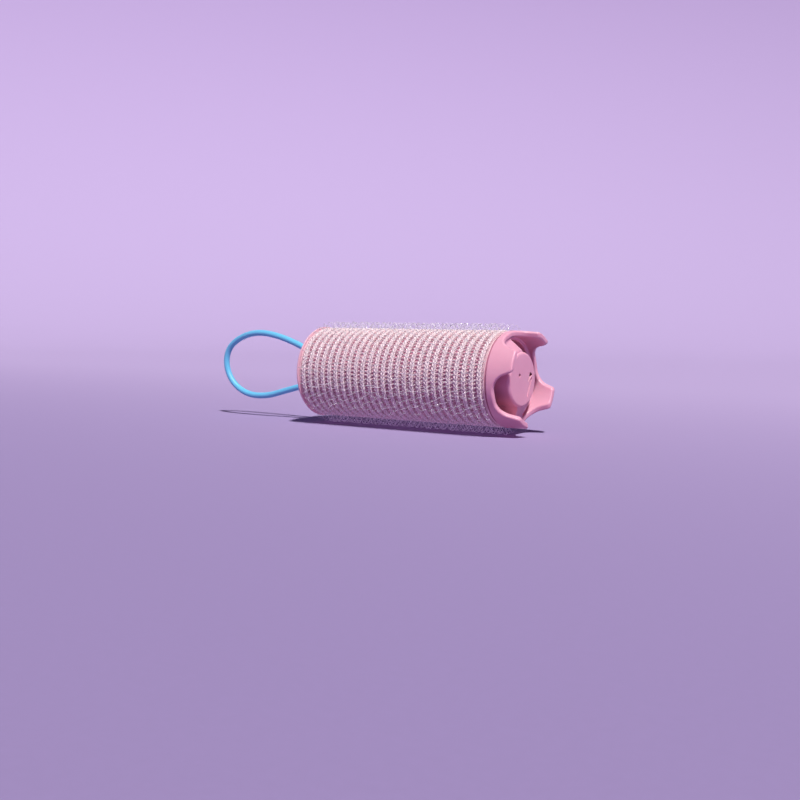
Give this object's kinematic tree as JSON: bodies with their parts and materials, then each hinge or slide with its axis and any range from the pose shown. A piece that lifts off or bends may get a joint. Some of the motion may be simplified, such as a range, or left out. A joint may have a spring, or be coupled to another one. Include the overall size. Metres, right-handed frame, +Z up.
{
  "type": "hair roller",
  "caption": "Self-grip hair roller: a tube wrapped in hook fabric, with a pronged crown at one end and an elastic holding loop at the other.",
  "frame": {"origin": "on the ground under the middle of the roller, which lies on its hooks", "axes": "+X along the roller's axis towards the crown, +Y to the left seen from the loop end, +Z up"},
  "size_m": [0.1191, 0.032, 0.032],
  "materials": {
    "pink_plastic": "satin moulded",
    "pink_core_plastic": "satin moulded",
    "net_fabric": "knitted net",
    "band_yarn": "knitted bands",
    "hook_nylon": "clear monofilament",
    "hem_tape": "heat-sealed edge",
    "blue_elastic": "smooth elastic cord",
    "ferrule_metal": "crimped"
  },
  "bodies": {
    "roller": {"core_tube": "pink_core_plastic", "fabric_ground": "net_fabric", "fabric_bands": "band_yarn", "hook_pile": "hook_nylon", "hem_loop_end": "hem_tape", "hem_crown_end": "hem_tape", "crown_cap": "pink_plastic", "loop_end_cap": "pink_plastic"},
    "cord_ends": {"cord_legs": "blue_elastic", "cord_ferrules": "ferrule_metal"},
    "loop": {"elastic_loop": "blue_elastic"}
  },
  "joints": [
    {"name": "loop_pull", "type": "slide", "parent": "roller", "child": "cord_ends", "axis": [-1, 0, 0], "range_m": [0, 0.012], "stiffness_N_per_m": 250},
    {"name": "loop_swing", "type": "hinge", "parent": "cord_ends", "child": "loop", "pos_m": [-0.03835, 0, 0.016], "axis": [0, 0, 1], "range_deg": [-80, 80], "stiffness_Nm_per_rad": 0.0006}
  ]
}
